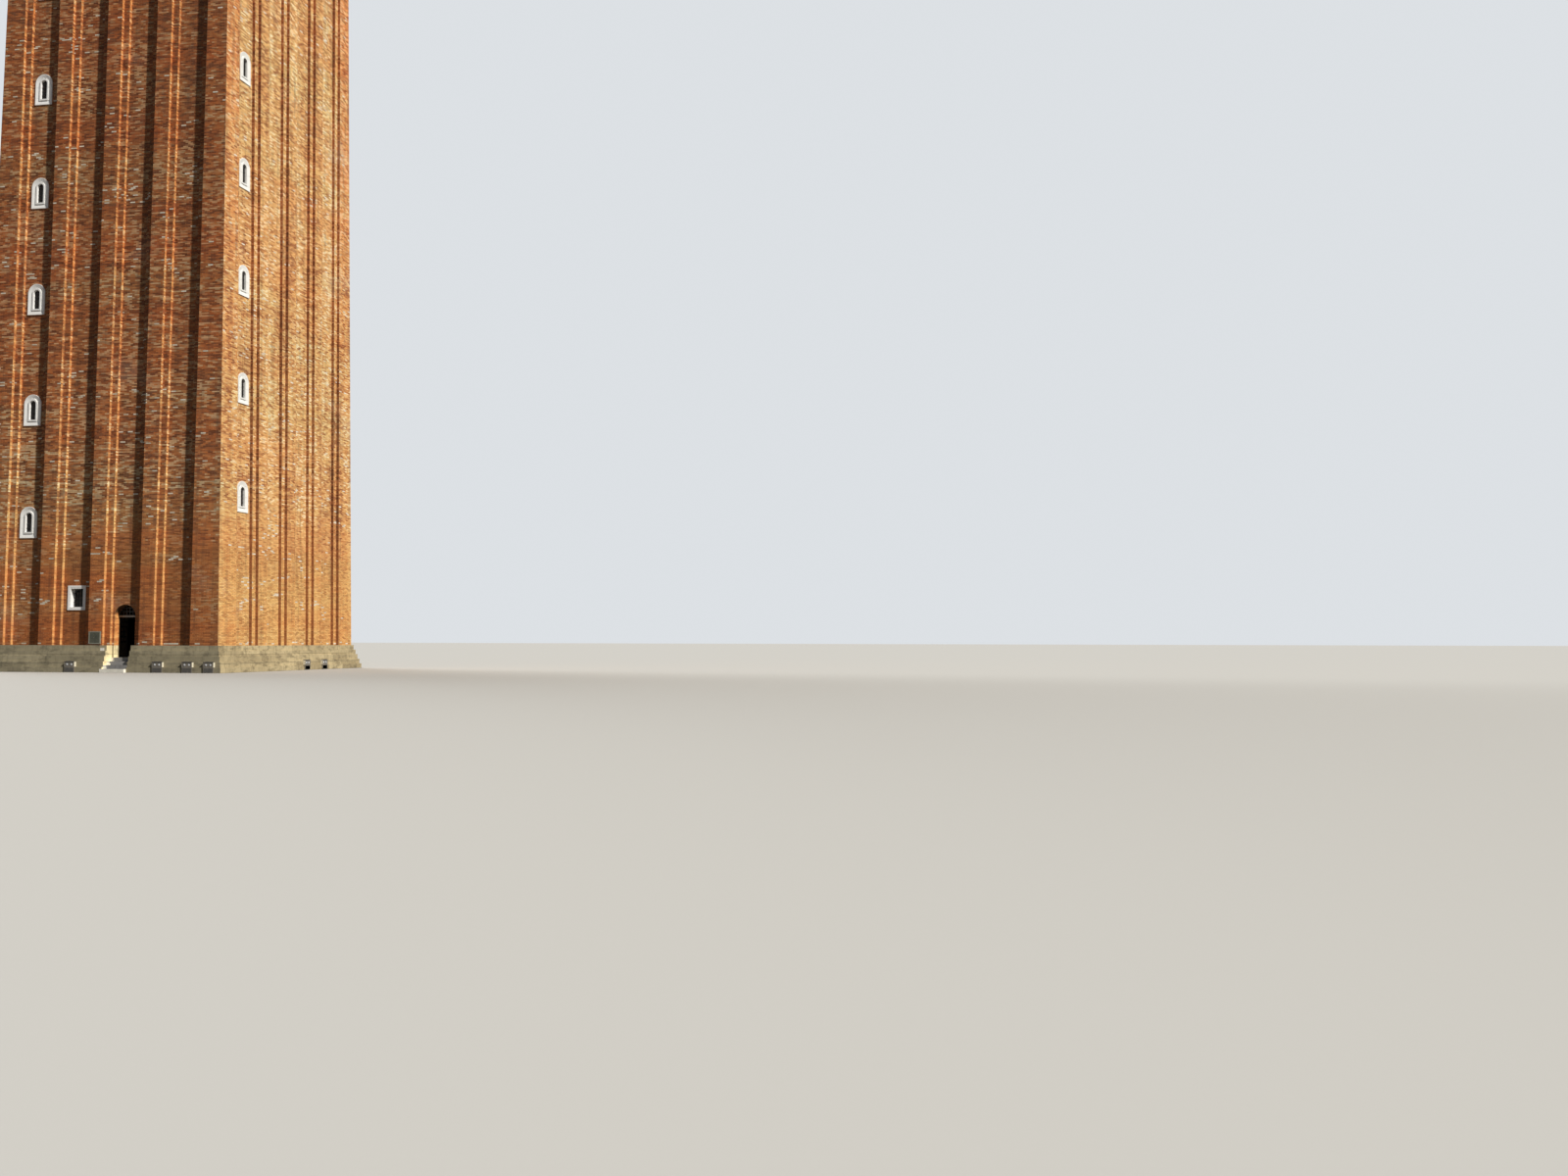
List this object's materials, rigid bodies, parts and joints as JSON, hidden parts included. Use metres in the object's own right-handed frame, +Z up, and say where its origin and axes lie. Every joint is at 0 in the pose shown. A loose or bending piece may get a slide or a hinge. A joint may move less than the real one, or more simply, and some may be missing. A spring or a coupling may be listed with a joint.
{
  "type": "bell tower, scale model 1:10",
  "caption": "Square brick bell tower with stepped recesses, arched slit windows, a stone plinth with a doorway, an arcaded belfry, an attic and a copper pyramid spire.",
  "frame": {"origin": "centre of the square shaft on the ground, at the underside of the plinth and floor bed", "axes": "+Z up; the face with the doorway looks towards -Y; +X is to the right of someone facing the doorway"},
  "size_m": [1.365, 1.3775, 9.877],
  "materials": {
    "brick": "weathered orange-brown brick in thin courses with scattered pale bricks",
    "plinth_stone": "worn grey-beige limestone blocks with darker joints",
    "step_stone": "worn pale limestone",
    "paving_stone": "flat grey stone slabs",
    "frame_stone": "near-white dressed limestone",
    "upper_stone": "white limestone with grey weathering under the mouldings",
    "door_iron": "dark painted iron",
    "panel_metal": "grey-green painted sheet metal with a pale frame",
    "lamp_metal": "grey powder-coated lamp housing",
    "timber": "dark seasoned oak",
    "bronze": "brown patinated bell bronze",
    "copper": "green verdigris copper sheet",
    "gilding": "gilded copper"
  },
  "bodies": {
    "tower": {"plinth_front": "plinth_stone", "plinth_right": "plinth_stone", "plinth_back": "plinth_stone", "plinth_left": "plinth_stone", "door_steps": "step_stone", "ground_floor": "paving_stone", "front_wall_with_window": "brick", "front_wall_left_of_door": "brick", "front_wall_right_of_door": "brick", "front_wall_over_door": "brick", "shaft_wall_front": "brick", "shaft_wall_right": "brick", "shaft_wall_back": "brick", "shaft_wall_left": "brick", "window_frames_front": "frame_stone", "window_frames_right": "frame_stone", "window_frames_back": "frame_stone", "window_frames_left": "frame_stone", "door_frame": "door_iron", "service_panel": "panel_metal", "floodlights": "lamp_metal", "shaft_cornice": "upper_stone", "belfry_floor": "paving_stone", "belfry_corner_piers": "upper_stone", "belfry_columns": "upper_stone", "belfry_arcade_front": "upper_stone", "belfry_arcade_right": "upper_stone", "belfry_arcade_back": "upper_stone", "belfry_arcade_left": "upper_stone", "belfry_ceiling": "upper_stone", "entablature": "upper_stone", "balustrade": "upper_stone", "bell_frame": "timber", "great_bell": "bronze", "side_bells": "bronze", "attic_wall_front": "brick", "attic_wall_right": "brick", "attic_wall_back": "brick", "attic_wall_left": "brick", "attic_cornice": "upper_stone", "spire": "copper", "finial_ball": "gilding", "weathervane_figure": "gilding"},
    "left_leaf": {"door_leaf_left": "door_iron"},
    "right_leaf": {"door_leaf_right": "door_iron"}
  },
  "joints": [
    {"name": "left_leaf_hinge", "type": "hinge", "parent": "tower", "child": "left_leaf", "pos_m": [0.07175, -0.562, 0.09], "axis": [0, 0, 1], "range_deg": [-90, 0]},
    {"name": "right_leaf_hinge", "type": "hinge", "parent": "tower", "child": "right_leaf", "pos_m": [0.19375, -0.562, 0.09], "axis": [0, 0, 1], "range_deg": [0, 90]}
  ]
}
